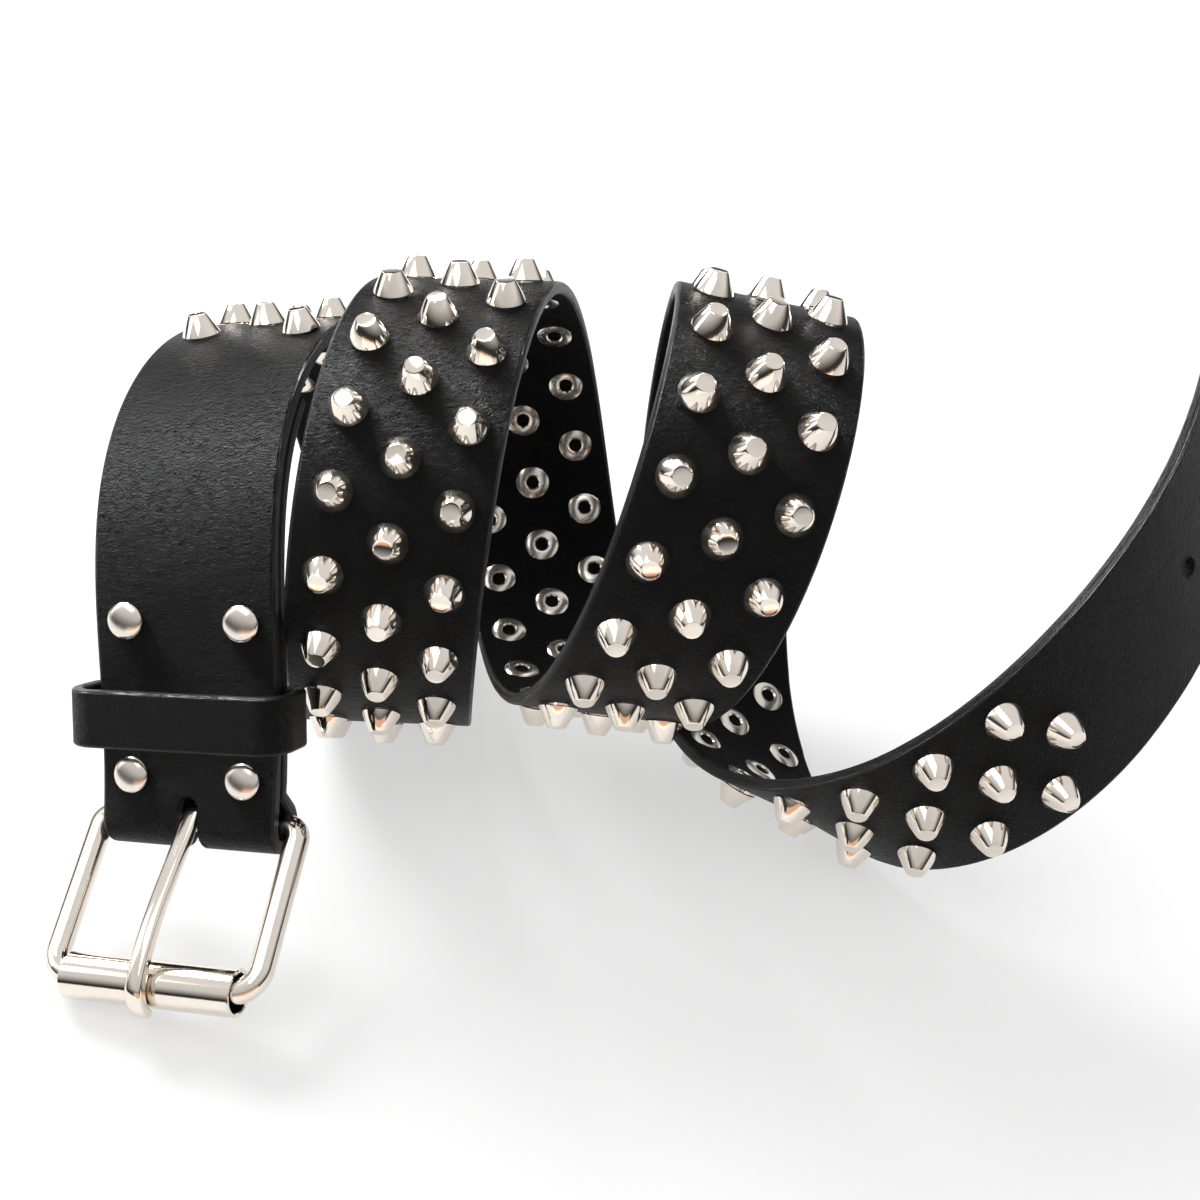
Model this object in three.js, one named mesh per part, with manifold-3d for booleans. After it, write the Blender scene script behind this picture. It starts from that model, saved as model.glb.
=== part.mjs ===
// A studded leather belt with a roller buckle, lying in loose coils on a level surface.
// Millimetres, +Z up, standing on z = 0. Seen along +Y the buckle hangs at the left,
// two turns of the coil follow, and the free end sweeps up and away to the right.
//
// The strap is one ribbon. Its middle line is stepped along from the buckle to the tip:
// T runs along the strap, N points out of the studded face, W = T x N runs across it.

import * as THREE from 'three';
import { mergeVertices } from 'three/addons/utils/BufferGeometryUtils.js';
import Module from 'manifold-3d';

const wasm = await Module();
wasm.setup();

// Driving sizes of the strap
const strapLength = 1150;
const strapWidth = 40;
const leather = 2.8;
const gap = 0.3;
const tipLength = 26;
const tipNose = 3;
const turnBackLength = 95;

// How the strap leaves the buckle: compass direction, slope and lean of its face, in degrees
const startHeading = 93.3;
const startSlope = 49.3;
const startLean = -17.9;

// Studs: cut cones in three staggered rows
const studPitch = 16.8;
const studRow = 12.3;
const studBase = 4.3;
const studTop = 2.1;
const studHeight = 4.7;
const studSides = 10;
const firstStudShare = 0.1026;
const lastStudShare = 0.834;

// Holes for the prong near the tip
const holeRadius = 2.2;
const holePitch = 22;
const holeCount = 5;
const firstHoleShare = 0.88;

// Buckle
const wire = 5.2;
const frameLength = 34.5;
const frameSideClearance = 0.6;
const rollerCorner = 5;
const frameAngle = 27;
const rollerRadius = 4.8;
const rollerWall = 0.9;
const rollerEndClearance = 1.4;
const prongWidth = 3.8;
const prongThickness = 3;
const prongEyeThickness = 2;
const prongBow = 7.6;
const slotClearance = 0.6;
const slotStraight = 5;

// Keeper loop and rivets
const keeperHeight = 12;
const keeperWall = 2.4;
const keeperSideRoom = 2.1;
const keeperDepthRoom = 5.6;
const keeperFrontCorner = 4.2;
const keeperBackCorner = 2.6;
const keeperPlace = 24.5;
const rivetRadius = 3.95;
const rivetDome = 1.7;
const rivetRim = 0.4;
const rivetShank = 1.3;
const rivetWasher = 2.6;
const rivetWasherThickness = 0.8;
const rivetPlaces = { lower: 11.6, upper: 44.4 };
const rivetSide = 12.8;

// One row for each stretch of the strap, from the buckle to the tip.
// share: its part of the strap's length; bend: how far it curls inwards, in degrees;
// drift: how far it runs sideways while it curls, in strap widths.
const stretches = [
  { name: 'buckle end', share: 0.0438, bend: -17, drift: 0.12 },
  { name: 'shoulder of the first turn', share: 0.0438, bend: 58, drift: -0.11 },
  { name: 'first turn, top', share: 0.0438, bend: 55, drift: 0 },
  { name: 'first turn, back', share: 0.0438, bend: 65, drift: -0.21 },
  { name: 'first turn, lower back', share: 0.0438, bend: 62, drift: -0.26 },
  { name: 'first turn, bottom', share: 0.0438, bend: 54, drift: -0.19 },
  { name: 'second turn, lower front', share: 0.0438, bend: 52, drift: -0.13 },
  { name: 'second turn, front', share: 0.0438, bend: 57, drift: -0.17 },
  { name: 'second turn, upper front', share: 0.0438, bend: 65, drift: -0.17 },
  { name: 'second turn, top', share: 0.0438, bend: 68, drift: -0.26 },
  { name: 'second turn, back', share: 0.0438, bend: 54, drift: -0.36 },
  { name: 'second turn, bottom', share: 0.0438, bend: 56, drift: -0.32 },
  { name: 'third turn, lower front', share: 0.0438, bend: 55, drift: -0.17 },
  { name: 'third turn, front', share: 0.0438, bend: 60, drift: -0.17 },
  { name: 'third turn, top', share: 0.0438, bend: 74, drift: -0.21 },
  { name: 'third turn, upper back', share: 0.0438, bend: 57, drift: -0.15 },
  { name: 'third turn, back', share: 0.0438, bend: 40, drift: -0.36 },
  { name: 'foot of the free end', share: 0.0438, bend: 61, drift: -0.72 },
  { name: 'rise of the free end', share: 0.0438, bend: 63, drift: -0.3 },
  { name: 'free end past the studs', share: 0.0438, bend: 26, drift: 0.15 },
  { name: 'free end at the holes', share: 0.0413, bend: 17, drift: 0.11 },
  { name: 'free end, straightening', share: 0.0413, bend: 8, drift: 0.02 },
  { name: 'free end, tip', share: 0.0414, bend: 0, drift: 0 },
];
const firstCoiled = 2;
const lastCoiled = 18;

// Sizes that follow
const fullTurn = 2 * Math.PI;
const barRadius = wire / 2;
const barPlace = 2;
const foldRadius = barRadius + gap + leather / 2;
const innerLayer = -(leather + gap);
const frameWidth = strapWidth + 2 * frameSideClearance + wire;
const heelCorner = frameSideClearance + barRadius - gap;
const rollerLength = frameWidth - wire - 2 * rollerEndClearance;
const rollerDrop = rollerRadius - rollerWall - barRadius - gap;
const slotWidth = prongWidth + 2 * slotClearance;
const eyeRadius = barRadius + gap + prongEyeThickness / 2;
const stepLength = studPitch / 2;

const coil = stretches.slice(firstCoiled, lastCoiled + 1);
const coilShare = coil.reduce((sum, row) => sum + row.share, 0);
const coilBend = coil.reduce((sum, row) => sum + row.bend, 0);
const coilRadius = (coilShare * strapLength) / THREE.MathUtils.degToRad(coilBend);

// Materials
const leatherFinish = new THREE.MeshStandardMaterial({ color: 0x121214, roughness: 0.55, metalness: 0 });
const nickelFinish = new THREE.MeshStandardMaterial({ color: 0xd6cfc6, roughness: 0.16, metalness: 1 });

// Solids: between three.js geometries and solids that can be cut and joined
function toSolid(geometry) {
  const bare = geometry.index ? geometry.toNonIndexed() : geometry.clone();
  for (const name of Object.keys(bare.attributes)) {
    if (name !== 'position') bare.deleteAttribute(name);
  }
  const merged = mergeVertices(bare, 1e-3);
  return new wasm.Manifold(new wasm.Mesh({
    numProp: 3,
    vertProperties: new Float32Array(merged.attributes.position.array),
    triVerts: new Uint32Array(merged.index.array),
  }));
}

function toGeometry(solid) {
  const mesh = solid.getMesh();
  const geometry = new THREE.BufferGeometry();
  geometry.setAttribute('position', new THREE.BufferAttribute(mesh.vertProperties, 3));
  geometry.setIndex(new THREE.BufferAttribute(mesh.triVerts, 1));
  return geometry;
}

// A closed skin through rings of equal size; ends are capped, or joined when the path closes
function skin(rings, closed = false) {
  const size = rings[0].length;
  const faces = [];
  const spans = closed ? rings.length : rings.length - 1;
  for (let ring = 0; ring < spans; ring += 1) {
    const here = ring * size;
    const next = ((ring + 1) % rings.length) * size;
    for (let side = 0; side < size; side += 1) {
      const after = (side + 1) % size;
      faces.push([here + side, next + side, next + after], [here + side, next + after, here + after]);
    }
  }
  if (!closed) {
    const last = (rings.length - 1) * size;
    for (let side = 1; side < size - 1; side += 1) {
      faces.push([0, side, side + 1], [last, last + side + 1, last + side]);
    }
  }
  return facesGeometry(rings.flat(), faces);
}

function facesGeometry(points, faces) {
  const geometry = new THREE.BufferGeometry().setFromPoints(points);
  geometry.setIndex(faces.flat());
  return signedVolume(geometry) < 0 ? turnedInsideOut(geometry) : geometry;
}

function signedVolume(geometry) {
  const corners = [new THREE.Vector3(), new THREE.Vector3(), new THREE.Vector3()];
  const index = geometry.index.array;
  let volume = 0;
  for (let face = 0; face < index.length; face += 3) {
    corners.forEach((corner, k) => corner.fromBufferAttribute(geometry.attributes.position, index[face + k]));
    volume += corners[0].dot(corners[1].cross(corners[2])) / 6;
  }
  return volume;
}

function turnedInsideOut(geometry) {
  const index = Array.from(geometry.index.array);
  for (let face = 0; face < index.length; face += 3) {
    [index[face + 1], index[face + 2]] = [index[face + 2], index[face + 1]];
  }
  geometry.setIndex(index);
  return geometry;
}

// The strap's middle line
function rowMiddles() {
  let start = 0;
  return stretches.map((row) => {
    const length = row.share * strapLength;
    const middle = start + length / 2;
    start += length;
    const bendRate = THREE.MathUtils.degToRad(row.bend) / length;
    const twistRate = (row.drift * strapWidth) / coilRadius / length;
    return { middle, bendRate, twistRate };
  });
}

function ratesAt(middles, place) {
  if (place <= middles[0].middle) return middles[0];
  const next = middles.findIndex((row) => row.middle > place);
  if (next < 0) return middles[middles.length - 1];
  const [before, after] = [middles[next - 1], middles[next]];
  const share = (place - before.middle) / (after.middle - before.middle);
  return {
    bendRate: THREE.MathUtils.lerp(before.bendRate, after.bendRate, share),
    twistRate: THREE.MathUtils.lerp(before.twistRate, after.twistRate, share),
  };
}

function startFrame() {
  const heading = THREE.MathUtils.degToRad(startHeading);
  const slope = THREE.MathUtils.degToRad(startSlope);
  const along = new THREE.Vector3(
    Math.cos(slope) * Math.cos(heading),
    Math.cos(slope) * Math.sin(heading),
    Math.sin(slope),
  );
  const across = new THREE.Vector3(Math.sin(heading), -Math.cos(heading), 0);
  const out = new THREE.Vector3().crossVectors(across, along);
  out.applyAxisAngle(along, THREE.MathUtils.degToRad(startLean));
  return { along, out, across: new THREE.Vector3().crossVectors(along, out) };
}

function middleLine() {
  const middles = rowMiddles();
  const steps = Math.round(strapLength / stepLength);
  const step = strapLength / steps;
  const frame = startFrame();
  const basis = new THREE.Matrix4().makeBasis(frame.along, frame.out, frame.across);
  const turn = new THREE.Quaternion().setFromRotationMatrix(basis);
  const point = new THREE.Vector3();
  const line = [{ place: 0, point: point.clone(), turn: turn.clone() }];
  for (let k = 0; k < steps; k += 1) {
    const { bendRate, twistRate } = ratesAt(middles, (k + 0.5) * step);
    const axis = new THREE.Vector3(twistRate, 0, -bendRate);
    const angle = axis.length() * step;
    const half = new THREE.Quaternion().setFromAxisAngle(axis.clone().normalize(), angle / 2);
    const midTurn = turn.clone().multiply(half);
    point.add(new THREE.Vector3(step, 0, 0).applyQuaternion(midTurn));
    turn.copy(midTurn.multiply(half));
    line.push({ place: (k + 1) * step, point: point.clone(), turn: turn.clone() });
  }
  return { line, step };
}

const { line: strapLine, step: lineStep } = middleLine();

// Position and directions at any place along the strap; it runs on straight before its start
function frameAt(place) {
  const at = THREE.MathUtils.clamp(place / lineStep, 0, strapLine.length - 1.001);
  const before = strapLine[Math.floor(at)];
  const after = strapLine[Math.floor(at) + 1];
  const share = at - Math.floor(at);
  const point = before.point.clone().lerp(after.point, share);
  const turn = before.turn.clone().slerp(after.turn, share);
  const along = new THREE.Vector3(1, 0, 0).applyQuaternion(turn);
  const out = new THREE.Vector3(0, 1, 0).applyQuaternion(turn);
  const across = new THREE.Vector3(0, 0, 1).applyQuaternion(turn);
  if (place < 0) point.addScaledVector(along, place);
  return { point, along, out, across };
}

// A point given along, out of and across the strap
function strapPoint(place, height, side) {
  const { point, out, across } = frameAt(place);
  return point.addScaledVector(out, height).addScaledVector(across, side);
}

// Moves a shape whose X runs out of the strap, Y across it and Z along it to its place
function strapMatrix(place, height, side) {
  const { out, across, along } = frameAt(place);
  return new THREE.Matrix4()
    .makeBasis(out, across, along)
    .setPosition(strapPoint(place, height, side));
}

// A turned shape, its axis out of the strap
function turnedOnStrap(profile, sides, place, side) {
  const points = profile.map(([radius, height]) => new THREE.Vector2(radius, height));
  const geometry = new THREE.LatheGeometry(points, sides);
  geometry.rotateZ(-Math.PI / 2);
  return geometry.applyMatrix4(strapMatrix(place, 0, side));
}

// Leather: its middle, seen from the side, as places along the strap and heights out of it.
// The inner layer runs down to the lower rivets, spreads round the heel bar and comes back
// up as the face. The steps are half a stud pitch and fall between the studs.
function leatherPath() {
  const path = [];
  const meet = new THREE.Vector2(rivetPlaces.lower - rivetWasher - 2 * gap - barPlace, innerLayer + foldRadius);
  const firstStep = (firstStudShare * strapLength - stepLength / 2) % stepLength;
  const lastInner = Math.floor((turnBackLength - firstStep) / stepLength);
  path.push([turnBackLength, innerLayer]);
  for (let step = lastInner; firstStep + step * stepLength > barPlace + meet.x; step -= 1) {
    path.push([firstStep + step * stepLength, innerLayer]);
  }
  path.push([barPlace + meet.x, innerLayer]);
  const foldStart = meet.angle() - Math.acos(foldRadius / meet.length());
  const foldEnd = -1.5 * Math.PI;
  const foldSteps = 10;
  for (let k = 0; k <= foldSteps; k += 1) {
    const angle = THREE.MathUtils.lerp(foldStart, foldEnd, k / foldSteps);
    path.push([
      barPlace + foldRadius * Math.cos(angle),
      k === foldSteps ? 0 : foldRadius * (Math.sin(angle) - 1),
    ]);
  }
  for (let place = firstStep + stepLength; place < strapLength - 1; place += stepLength) {
    path.push([place, 0]);
  }
  path.push([strapLength, 0]);
  return path;
}

// Half the width of the leather: full, and rounded in to a blunt nose at the tip
function halfWidth(place) {
  const into = place - (strapLength - tipLength);
  if (into <= 0) return strapWidth / 2;
  const share = Math.min(into / tipLength, 1);
  return tipNose + (strapWidth / 2 - tipNose) * Math.sqrt(Math.max(0, 1 - share * share));
}

function studPlaces() {
  const first = firstStudShare * strapLength;
  const count = Math.floor(((lastStudShare - firstStudShare) * strapLength) / studPitch) + 1;
  const rows = [[-studRow, 0], [0, studPitch / 2], [studRow, 0]];
  return rows.flatMap(([side, offset]) => (
    Array.from({ length: count }, (_, k) => ({ place: first + offset + k * studPitch, side }))
  ));
}

// Leather and studs in one skin. Each ring of the leather has four corners; a span that
// holds studs has their base rings cut out of its face, and the studs close the cuts.
function studdedRibbon() {
  const path = leatherPath();
  const studs = studPlaces();
  const points = [];
  const faces = [];
  path.forEach(([place, height], k) => {
    const [beforePlace, beforeHeight] = path[Math.max(k - 1, 0)];
    const [afterPlace, afterHeight] = path[Math.min(k + 1, path.length - 1)];
    const run = new THREE.Vector2(afterPlace - beforePlace, afterHeight - beforeHeight).normalize();
    const rise = new THREE.Vector2(-run.y, run.x).multiplyScalar(leather / 2);
    const half = halfWidth(height === 0 ? place : 0);
    for (const [face, side] of [[1, -1], [1, 1], [-1, 1], [-1, -1]]) {
      points.push(strapPoint(place + face * rise.x, height + face * rise.y, side * half));
    }
  });

  for (let k = 0; k < path.length - 1; k += 1) {
    const [here, next] = [4 * k, 4 * k + 4];
    for (let side = 0; side < 4; side += 1) {
      const after = (side + 1) % 4;
      const corners = [here + side, next + side, next + after, here + after];
      const [from, to] = [path[k][0], path[k + 1][0]];
      const onFace = side === 0 && path[k][1] === 0;
      const held = onFace ? studs.filter(({ place }) => place > from && place < to) : [];
      if (held.length > 0) {
        addStuddedFace(points, faces, corners, [from, to], held);
      } else {
        faces.push([corners[0], corners[1], corners[2]], [corners[0], corners[2], corners[3]]);
      }
    }
  }
  const end = 4 * (path.length - 1);
  faces.push([0, 1, 2], [0, 2, 3]);
  faces.push([end, end + 2, end + 1], [end, end + 3, end + 2]);
  return toSolid(facesGeometry(points, faces));
}

function addStuddedFace(points, faces, corners, [from, to], held) {
  const half = strapWidth / 2;
  const outline = [[from, -half], [to, -half], [to, half], [from, half]].map(([x, y]) => new THREE.Vector2(x, y));
  const flat = [...outline];
  const indices = [...corners];
  const holes = held.map(({ place, side }) => {
    const base = studRing(place, side, studBase);
    const first = points.length;
    points.push(...base.map(({ x, y }) => strapPoint(x, leather / 2, y)));
    points.push(...studRing(place, side, studTop).map(({ x, y }) => strapPoint(x, leather / 2 + studHeight, y)));
    for (let k = 0; k < studSides; k += 1) {
      const after = (k + 1) % studSides;
      const top = first + studSides;
      faces.push([first + k, first + after, top + after], [first + k, top + after, top + k]);
      if (k > 0 && after > 0) faces.push([top, top + k, top + after]);
    }
    flat.push(...base);
    indices.push(...base.map((_, k) => first + k));
    return base;
  });
  for (const [a, b, c] of THREE.ShapeUtils.triangulateShape(outline, holes)) {
    const turn = flat[b].clone().sub(flat[a]).cross(flat[c].clone().sub(flat[a]));
    faces.push(turn > 0 ? [indices[a], indices[b], indices[c]] : [indices[a], indices[c], indices[b]]);
  }
}

function studRing(place, side, radius) {
  return Array.from({ length: studSides }, (_, k) => {
    const angle = (fullTurn * (k + 0.5)) / studSides;
    return new THREE.Vector2(place + radius * Math.cos(angle), side + radius * Math.sin(angle));
  });
}

function throughHole(radius, place, side) {
  const sides = 12;
  const reach = leather / 2 + 1;
  const profile = [
    [0, 2 * innerLayer - reach],
    [radius, 2 * innerLayer - reach],
    [radius, reach],
    [0, reach],
  ];
  return toSolid(turnedOnStrap(profile, sides, place, side));
}

// The slot that the prong swings in: straight sides and a round top, through both layers
function prongSlot() {
  const bottom = barPlace - foldRadius - leather;
  const depth = 2 * foldRadius + 2 * leather;
  const outline = new THREE.Shape();
  outline.moveTo(-slotWidth / 2, bottom);
  outline.lineTo(slotWidth / 2, bottom);
  outline.lineTo(slotWidth / 2, slotStraight);
  outline.absarc(0, slotStraight, slotWidth / 2, 0, Math.PI, false);
  outline.closePath();
  const geometry = new THREE.ExtrudeGeometry(outline, { depth, bevelEnabled: false, curveSegments: 6 });
  const { out, across, along } = frameAt(0);
  const place = new THREE.Matrix4().makeBasis(across, along, out);
  place.setPosition(strapPoint(0, leather - depth, 0));
  return toSolid(geometry.applyMatrix4(place));
}

function strapGeometry() {
  let strap = studdedRibbon().subtract(prongSlot());
  for (const place of Object.values(rivetPlaces)) {
    for (const side of [-rivetSide, rivetSide]) {
      strap = strap.subtract(throughHole(rivetShank + gap, place, side));
    }
  }
  for (let k = 0; k < holeCount; k += 1) {
    strap = strap.subtract(throughHole(holeRadius, firstHoleShare * strapLength + k * holePitch, 0));
  }
  return toGeometry(strap);
}

// Keeper: a flat oval band of leather round both layers, rounder in front than behind
function keeperOutline(wall) {
  const back = innerLayer - leather / 2 - gap - wall;
  const front = leather / 2 + keeperDepthRoom + wall;
  const half = strapWidth / 2 + keeperSideRoom + wall;
  const [backCorner, frontCorner] = [keeperBackCorner + wall, keeperFrontCorner + wall];
  const shape = new THREE.Shape();
  shape.absarc(front - frontCorner, half - frontCorner, frontCorner, 0, Math.PI / 2, false);
  shape.absarc(back + backCorner, half - backCorner, backCorner, Math.PI / 2, Math.PI, false);
  shape.absarc(back + backCorner, backCorner - half, backCorner, Math.PI, 1.5 * Math.PI, false);
  shape.absarc(front - frontCorner, frontCorner - half, frontCorner, 1.5 * Math.PI, fullTurn, false);
  shape.closePath();
  return shape;
}

function keeperGeometry() {
  const band = keeperOutline(keeperWall);
  band.holes.push(keeperOutline(0));
  const geometry = new THREE.ExtrudeGeometry(band, {
    depth: keeperHeight,
    bevelEnabled: false,
    curveSegments: 6,
  });
  geometry.translate(0, 0, -keeperHeight / 2);
  return toGeometry(toSolid(geometry.applyMatrix4(strapMatrix(keeperPlace, 0, 0))));
}

// Rivet: domed cap on the face, shank through both layers, flat washer behind
function rivetGeometry(place, side) {
  const under = leather / 2 + gap;
  const back = innerLayer - leather / 2 - gap;
  const profile = [
    [0, back - rivetWasherThickness],
    [rivetWasher, back - rivetWasherThickness],
    [rivetWasher, back],
    [rivetShank, back],
    [rivetShank, under],
    [rivetRadius, under],
    [rivetRadius, under + rivetRim],
  ];
  const domeSteps = 4;
  for (let k = 1; k <= domeSteps; k += 1) {
    const angle = (Math.PI / 2) * (k / domeSteps);
    const height = under + rivetRim + (rivetDome - rivetRim) * Math.sin(angle);
    profile.push([k === domeSteps ? 0 : rivetRadius * Math.cos(angle), height]);
  }
  const sides = 12;
  return toGeometry(toSolid(turnedOnStrap(profile, sides, place, side)));
}

// Buckle frame, in its own directions: X across, Y from the heel bar to the roller, Z out
function frameRings() {
  const half = frameWidth / 2;
  const cornerSteps = 5;
  const sides = 10;
  const corners = [
    { x: half - heelCorner, y: heelCorner, radius: heelCorner, from: -0.25 },
    { x: half - rollerCorner, y: frameLength - rollerCorner, radius: rollerCorner, from: 0 },
    { x: rollerCorner - half, y: frameLength - rollerCorner, radius: rollerCorner, from: 0.25 },
    { x: heelCorner - half, y: heelCorner, radius: heelCorner, from: 0.5 },
  ];
  const rings = [];
  for (const { x, y, radius, from } of corners) {
    for (let k = 0; k <= cornerSteps; k += 1) {
      const angle = fullTurn * (from + (0.25 * k) / cornerSteps);
      const outward = new THREE.Vector3(Math.cos(angle), Math.sin(angle), 0);
      const centre = new THREE.Vector3(x, y, 0).addScaledVector(outward, radius);
      const ring = [];
      for (let side = 0; side < sides; side += 1) {
        const around = (fullTurn * (side + 0.5)) / sides;
        ring.push(centre.clone()
          .addScaledVector(outward, barRadius * Math.cos(around))
          .add(new THREE.Vector3(0, 0, barRadius * Math.sin(around))));
      }
      rings.push(ring);
    }
  }
  return rings;
}

function rollerGeometry() {
  const inner = rollerRadius - rollerWall;
  const half = rollerLength / 2;
  const profile = [[inner, -half], [rollerRadius, -half], [rollerRadius, half], [inner, half], [inner, -half]];
  const sides = 20;
  const geometry = new THREE.LatheGeometry(profile.map(([r, y]) => new THREE.Vector2(r, y)), sides);
  geometry.rotateZ(-Math.PI / 2);
  return toGeometry(toSolid(geometry));
}

// Prong: an eye round the heel bar, a bowed shaft, and a tip that hooks over the roller
function prongPath() {
  const path = [];
  const eyeSteps = 9;
  const [eyeStart, eyeEnd] = [-40, -270];
  for (let k = 0; k <= eyeSteps; k += 1) {
    const angle = THREE.MathUtils.degToRad(THREE.MathUtils.lerp(eyeStart, eyeEnd, k / eyeSteps));
    path.push({ y: eyeRadius * Math.cos(angle), z: eyeRadius * Math.sin(angle), thick: prongEyeThickness });
  }
  const wrap = rollerRadius + gap + prongThickness / 2;
  const landing = THREE.MathUtils.degToRad(68);
  const landingPoint = new THREE.Vector2(
    frameLength + wrap * Math.cos(landing),
    -rollerDrop + wrap * Math.sin(landing),
  );
  const shaft = new THREE.CubicBezierCurve(
    new THREE.Vector2(0, eyeRadius),
    new THREE.Vector2(frameLength * 0.3, eyeRadius),
    new THREE.Vector2(frameLength * 0.72, prongBow + rollerDrop),
    landingPoint,
  );
  const shaftSteps = 9;
  for (let k = 1; k <= shaftSteps; k += 1) {
    const share = k / shaftSteps;
    const point = shaft.getPoint(share);
    const thick = THREE.MathUtils.lerp(prongEyeThickness, prongThickness, Math.min(1, 3 * share));
    path.push({ y: point.x, z: point.y, thick });
  }
  const hookSteps = 5;
  const hookEnd = THREE.MathUtils.degToRad(5);
  for (let k = 1; k <= hookSteps; k += 1) {
    const share = k / hookSteps;
    const angle = THREE.MathUtils.lerp(landing, hookEnd, share);
    const thick = THREE.MathUtils.lerp(prongThickness, prongEyeThickness, share);
    const radius = wrap - (prongThickness - thick) / 2;
    path.push({ y: frameLength + radius * Math.cos(angle), z: -rollerDrop + radius * Math.sin(angle), thick });
  }
  return path;
}

function prongGeometry() {
  const path = prongPath();
  const chamfer = 0.3;
  const rings = path.map(({ y, z, thick }, k) => {
    const before = path[Math.max(k - 1, 0)];
    const after = path[Math.min(k + 1, path.length - 1)];
    const run = new THREE.Vector2(after.y - before.y, after.z - before.z).normalize();
    const up = new THREE.Vector3(0, -run.y, run.x);
    const [halfWide, halfThick] = [prongWidth / 2, thick / 2];
    const section = [
      [halfWide, halfThick * chamfer], [halfWide * (1 - chamfer), halfThick],
      [halfWide * (chamfer - 1), halfThick], [-halfWide, halfThick * chamfer],
      [-halfWide, -halfThick * chamfer], [halfWide * (chamfer - 1), -halfThick],
      [halfWide * (1 - chamfer), -halfThick], [halfWide, -halfThick * chamfer],
    ];
    return section.map(([x, height]) => new THREE.Vector3(x, y, z).addScaledVector(up, height));
  });
  return toGeometry(toSolid(skin(rings)));
}

// Assembly
function piece(name, geometry, finish) {
  const mesh = new THREE.Mesh(geometry, finish);
  mesh.name = name;
  return mesh;
}

function buckleGroup() {
  const group = new THREE.Group();
  group.add(piece('buckle_frame', toGeometry(toSolid(skin(frameRings(), true))), nickelFinish));
  const roller = piece('roller', rollerGeometry(), nickelFinish);
  roller.position.set(0, frameLength, -rollerDrop);
  group.add(roller);
  group.add(piece('prong', prongGeometry(), nickelFinish));

  const { out, across, along } = frameAt(0);
  const swing = THREE.MathUtils.degToRad(frameAngle);
  const reach = along.clone().multiplyScalar(-Math.cos(swing)).addScaledVector(out, Math.sin(swing));
  const side = across.clone().negate();
  const normal = new THREE.Vector3().crossVectors(side, reach);
  group.quaternion.setFromRotationMatrix(new THREE.Matrix4().makeBasis(side, reach, normal));
  group.position.copy(strapPoint(barPlace, -foldRadius, 0));
  return group;
}

const belt = new THREE.Group();
belt.add(piece('studded_strap', strapGeometry(), leatherFinish));
belt.add(piece('keeper_loop', keeperGeometry(), leatherFinish));
for (const [level, place] of Object.entries(rivetPlaces)) {
  for (const [hand, side] of [['left', -rivetSide], ['right', rivetSide]]) {
    belt.add(piece(`rivet_${level}_${hand}`, rivetGeometry(place, side), nickelFinish));
  }
}
belt.add(buckleGroup());

// The belt stands on z = 0, with the middle of its box over the origin
belt.updateMatrixWorld(true);
const box = new THREE.Box3().setFromObject(belt, true);
const middle = box.getCenter(new THREE.Vector3());
belt.position.set(-middle.x, -middle.y, -box.min.z);

export default belt;
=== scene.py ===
# %% [markdown]
# # A studded leather belt, dressed over its solids
#
# The belt lies in loose coils: the buckle hangs at the left, and the free end
# sweeps up to the right. The solids already have the true sizes. Here each soft
# or shiny piece gets a finer skin over its solid: leather with rounded edges and
# grain, turned studs with a bright rim, eyelets, and a nickel buckle.

import math

import bmesh
import bpy
import numpy as np
from mathutils import Matrix, Vector


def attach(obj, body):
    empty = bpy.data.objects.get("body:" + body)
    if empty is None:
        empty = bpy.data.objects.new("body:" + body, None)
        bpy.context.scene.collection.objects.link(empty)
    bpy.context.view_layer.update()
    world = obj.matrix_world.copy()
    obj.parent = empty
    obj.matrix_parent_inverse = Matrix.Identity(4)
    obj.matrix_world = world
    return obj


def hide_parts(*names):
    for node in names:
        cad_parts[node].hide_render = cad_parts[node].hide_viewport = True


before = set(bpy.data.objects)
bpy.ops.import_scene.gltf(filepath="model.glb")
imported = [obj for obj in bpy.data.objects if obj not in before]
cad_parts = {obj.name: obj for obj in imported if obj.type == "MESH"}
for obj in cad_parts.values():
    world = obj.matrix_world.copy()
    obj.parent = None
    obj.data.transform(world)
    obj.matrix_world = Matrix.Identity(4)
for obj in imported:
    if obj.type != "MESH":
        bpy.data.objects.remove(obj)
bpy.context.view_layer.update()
print("solids:", sorted(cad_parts))

# %% [markdown]
# ## Sizes
#
# Everything is in metres and uses the same names as the belt's solids, so a
# change there is easy to follow here.

# %% Sizes of the strap
MM = 0.001
STRAP_START = Vector((-111.288, -71.094, 24.552)) * MM
STRAP_LENGTH = 1150 * MM
STRAP_WIDTH = 40 * MM
LEATHER = 2.8 * MM
GAP = 0.3 * MM
TIP_LENGTH = 26 * MM
TIP_NOSE = 3 * MM
TURN_BACK_LENGTH = 95 * MM
EDGE_ROUND = 0.85 * MM
START_HEADING = math.radians(93.3)
START_SLOPE = math.radians(49.3)
START_LEAN = math.radians(-17.9)

# %% Sizes of the studs and holes
STUD_PITCH = 16.8 * MM
STUD_ROW = 12.3 * MM
STUD_BASE = 4.3 * MM
STUD_TOP = 2.1 * MM
STUD_HEIGHT = 4.7 * MM
FIRST_STUD = 0.1026 * STRAP_LENGTH
LAST_STUD = 0.834 * STRAP_LENGTH
EYELET_RADIUS = 4.2 * MM
EYELET_HOLE = 1.65 * MM
HOLE_RADIUS = 2.2 * MM
HOLE_PITCH = 22 * MM
HOLE_COUNT = 5
FIRST_HOLE = 0.88 * STRAP_LENGTH

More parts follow.
